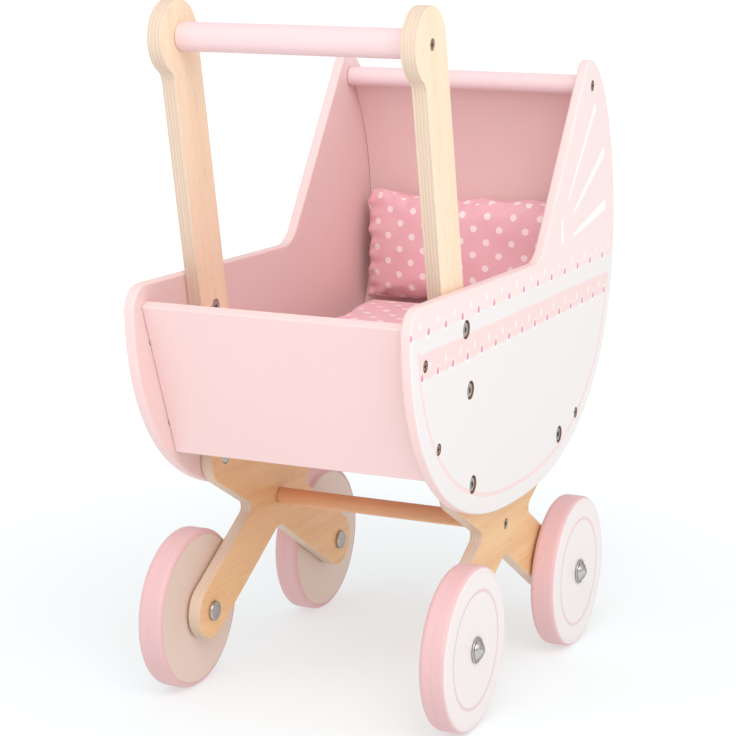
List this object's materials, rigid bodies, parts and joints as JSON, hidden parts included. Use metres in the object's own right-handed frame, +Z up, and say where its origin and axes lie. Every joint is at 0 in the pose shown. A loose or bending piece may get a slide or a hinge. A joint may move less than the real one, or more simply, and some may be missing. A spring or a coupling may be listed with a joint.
{
  "type": "doll stroller",
  "caption": "Doll's pram with a cradle between curved painted side panels, a hood, ply legs with free-rolling wheels, and a push handle on posts.",
  "frame": {"origin": "centre of the bounding box in X and Y, on the ground under the wheels", "axes": "+Z up, +Y towards the hood, -Y towards the push handle, +X to the right of someone facing +Y"},
  "size_m": [0.2826, 0.4663, 0.5677],
  "materials": {
    "panel_paint": "satin paint, white outside with pale pink trim",
    "inner_paint": "satin pale pink paint",
    "dowel_paint": "satin pale pink paint",
    "birch_ply": "clear lacquer over birch ply",
    "cross_wood": "clear lacquer",
    "wheel_wood": "satin off-white paint",
    "wheel_tyre": "matt",
    "fastener_steel": "bright plated",
    "mattress_fabric": "woven cotton with pale dots",
    "pillow_fabric": "woven cotton with pale dots"
  },
  "bodies": {
    "frame": {"axle_bolt_front_left": "fastener_steel", "axle_bolt_front_right": "fastener_steel", "axle_bolt_rear_left": "fastener_steel", "axle_bolt_rear_right": "fastener_steel", "bed_board": "inner_paint", "cross_dowel": "cross_wood", "cross_screw_left": "fastener_steel", "cross_screw_right": "fastener_steel", "foot_panel": "inner_paint", "foot_screw_lower_left": "fastener_steel", "foot_screw_lower_right": "fastener_steel", "foot_screw_upper_left": "fastener_steel", "foot_screw_upper_right": "fastener_steel", "handle_bar": "dowel_paint", "handle_post_left": "birch_ply", "handle_post_right": "birch_ply", "handle_screw_left": "fastener_steel", "handle_screw_right": "fastener_steel", "hood_bar": "dowel_paint", "hood_bar_screw_left": "fastener_steel", "hood_bar_screw_right": "fastener_steel", "hood_panel": "inner_paint", "hub_cap_front_left": "fastener_steel", "hub_cap_front_right": "fastener_steel", "hub_cap_rear_left": "fastener_steel", "hub_cap_rear_right": "fastener_steel", "leg_bolt_front_left": "fastener_steel", "leg_bolt_front_right": "fastener_steel", "leg_bolt_rear_left": "fastener_steel", "leg_bolt_rear_right": "fastener_steel", "leg_nut_front_left": "fastener_steel", "leg_nut_front_right": "fastener_steel", "leg_nut_rear_left": "fastener_steel", "leg_nut_rear_right": "fastener_steel", "leg_plate_left": "birch_ply", "leg_plate_right": "birch_ply", "post_bolt_lower_left": "fastener_steel", "post_bolt_lower_right": "fastener_steel", "post_bolt_upper_left": "fastener_steel", "post_bolt_upper_right": "fastener_steel", "post_nut_lower_left": "fastener_steel", "post_nut_lower_right": "fastener_steel", "post_nut_upper_left": "fastener_steel", "post_nut_upper_right": "fastener_steel", "rail_screw_left": "fastener_steel", "rail_screw_right": "fastener_steel", "rear_rail": "inner_paint", "side_panel_left": "panel_paint", "side_panel_right": "panel_paint"},
    "wheel_front_left_body": {"wheel_front_left": "wheel_wood", "tyre_front_left": "wheel_tyre"},
    "wheel_front_right_body": {"wheel_front_right": "wheel_wood", "tyre_front_right": "wheel_tyre"},
    "wheel_rear_left_body": {"wheel_rear_left": "wheel_wood", "tyre_rear_left": "wheel_tyre"},
    "wheel_rear_right_body": {"wheel_rear_right": "wheel_wood", "tyre_rear_right": "wheel_tyre"},
    "mattress_body": {"mattress": "mattress_fabric"},
    "pillow_body": {"pillow": "pillow_fabric"}
  },
  "joints": [
    {"name": "spin_front_left", "type": "hinge", "parent": "frame", "child": "wheel_front_left_body", "pos_m": [-0.1233, -0.1257, 0.0665], "axis": [1, 0, 0], "continuous": true},
    {"name": "spin_front_right", "type": "hinge", "parent": "frame", "child": "wheel_front_right_body", "pos_m": [0.1233, -0.1257, 0.0665], "axis": [1, 0, 0], "continuous": true},
    {"name": "spin_rear_left", "type": "hinge", "parent": "frame", "child": "wheel_rear_left_body", "pos_m": [-0.1233, 0.1207, 0.0665], "axis": [1, 0, 0], "continuous": true},
    {"name": "spin_rear_right", "type": "hinge", "parent": "frame", "child": "wheel_rear_right_body", "pos_m": [0.1233, 0.1207, 0.0665], "axis": [1, 0, 0], "continuous": true},
    {"name": "mattress_lift", "type": "slide", "parent": "frame", "child": "mattress_body", "axis": [0, -0.3882, 0.9216], "range_m": [0, 0.09]},
    {"name": "pillow_lift", "type": "slide", "parent": "mattress_body", "child": "pillow_body", "axis": [0, -0.866, 0.5], "range_m": [0, 0.12]}
  ]
}
